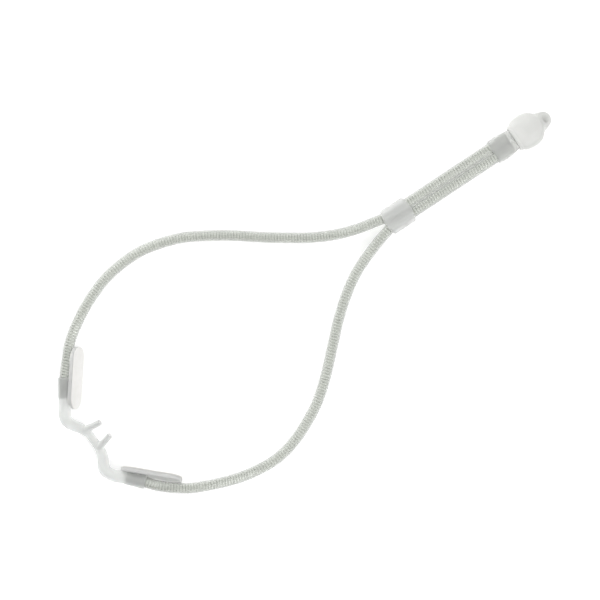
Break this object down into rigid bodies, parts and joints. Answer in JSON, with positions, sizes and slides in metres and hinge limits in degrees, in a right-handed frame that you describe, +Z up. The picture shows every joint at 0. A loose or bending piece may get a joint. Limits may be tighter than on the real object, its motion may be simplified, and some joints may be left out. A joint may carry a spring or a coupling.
{
  "type": "infant nasal cannula",
  "caption": "Infant high-flow nasal cannula: soft two-prong nasal piece, cheek pads, looped reinforced tubes, slider and inlet connector.",
  "frame": {"origin": "on the table, midway along and across the object without its two free tubes", "axes": "+X along the paired tubes and out of the inlet, +Z up from the table the cannula lies on, +Y to the left when looking along +X"},
  "size_m": [0.2684, 0.1203, 0.0113],
  "materials": {
    "nasal_silicone": "satin, translucent",
    "pad_silicone": "satin, translucent",
    "adhesive": "matte",
    "tube_film": "clear, glossy",
    "spring_plastic": "glossy",
    "slider_plastic": "frosted, translucent",
    "cuff_silicone": "satin, translucent",
    "core_plastic": "clear",
    "connector_plastic": "milky, satin"
  },
  "bodies": {
    "cannula": {"nasal_piece": "nasal_silicone", "left_pad": "pad_silicone", "right_pad": "pad_silicone", "left_adhesive": "adhesive", "right_adhesive": "adhesive", "left_tube": "tube_film", "right_tube": "tube_film", "left_spring": "spring_plastic", "right_spring": "spring_plastic", "tube_cuff": "cuff_silicone", "connector_core": "core_plastic", "connector_shell": "connector_plastic"},
    "slider": {"slider": "slider_plastic"}
  },
  "joints": [
    {"name": "slider_slide", "type": "slide", "parent": "cannula", "child": "slider", "axis": [1, 0, 0], "range_m": [0, 0.044]}
  ]
}
